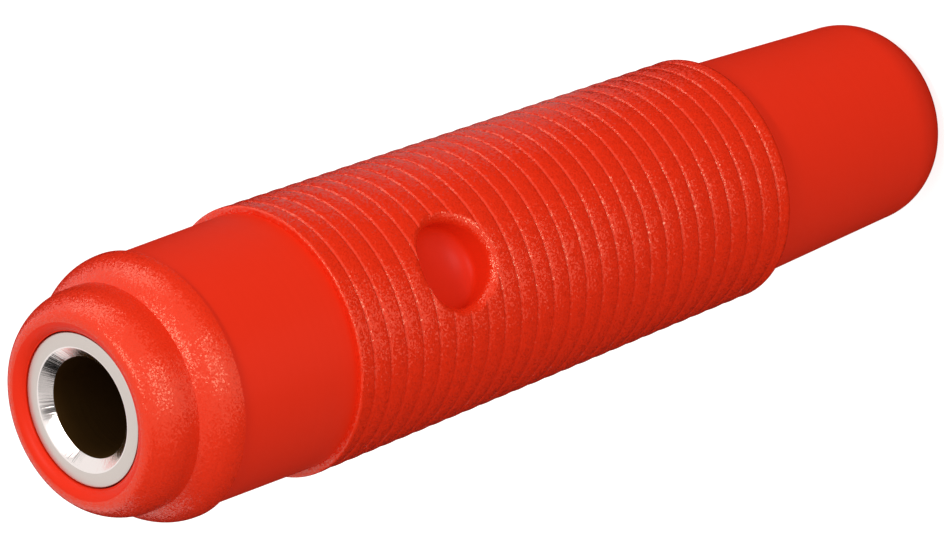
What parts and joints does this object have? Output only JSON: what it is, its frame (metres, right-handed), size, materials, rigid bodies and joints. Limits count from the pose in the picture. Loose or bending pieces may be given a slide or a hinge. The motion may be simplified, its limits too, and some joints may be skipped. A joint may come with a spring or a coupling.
{
  "type": "banana coupler",
  "caption": "In-line 4 mm banana socket: red insulating body with a ribbed grip and a side recess, and a plated socket contact with a wire clamp screw.",
  "frame": {"origin": "centre of the flat face at the rear end, where the cable goes in", "axes": "+Z along the coupler's axis, from the cable end to the socket's mouth; the side recess looks towards -Y"},
  "size_m": [0.0106, 0.0106, 0.0429],
  "materials": {
    "red_plastic": "moulded, smooth on the neck and tail, fine spark-eroded texture on the nose, flange and grip",
    "plated_brass": "nickel plated, turned",
    "plated_steel": "nickel plated"
  },
  "bodies": {
    "housing": {"insulating_body": "red_plastic"},
    "contact": {"socket_contact": "plated_brass"},
    "screw": {"clamp_screw": "plated_steel"}
  },
  "joints": [
    {"name": "contact_slide", "type": "slide", "parent": "housing", "child": "contact", "axis": [0, 0, 1], "range_m": [0, 0.0265]},
    {"name": "screw_turn", "type": "hinge", "parent": "contact", "child": "screw", "pos_m": [0, 0, 0.01813], "axis": [0, -1, 0], "range_deg": [0, 1080]}
  ]
}
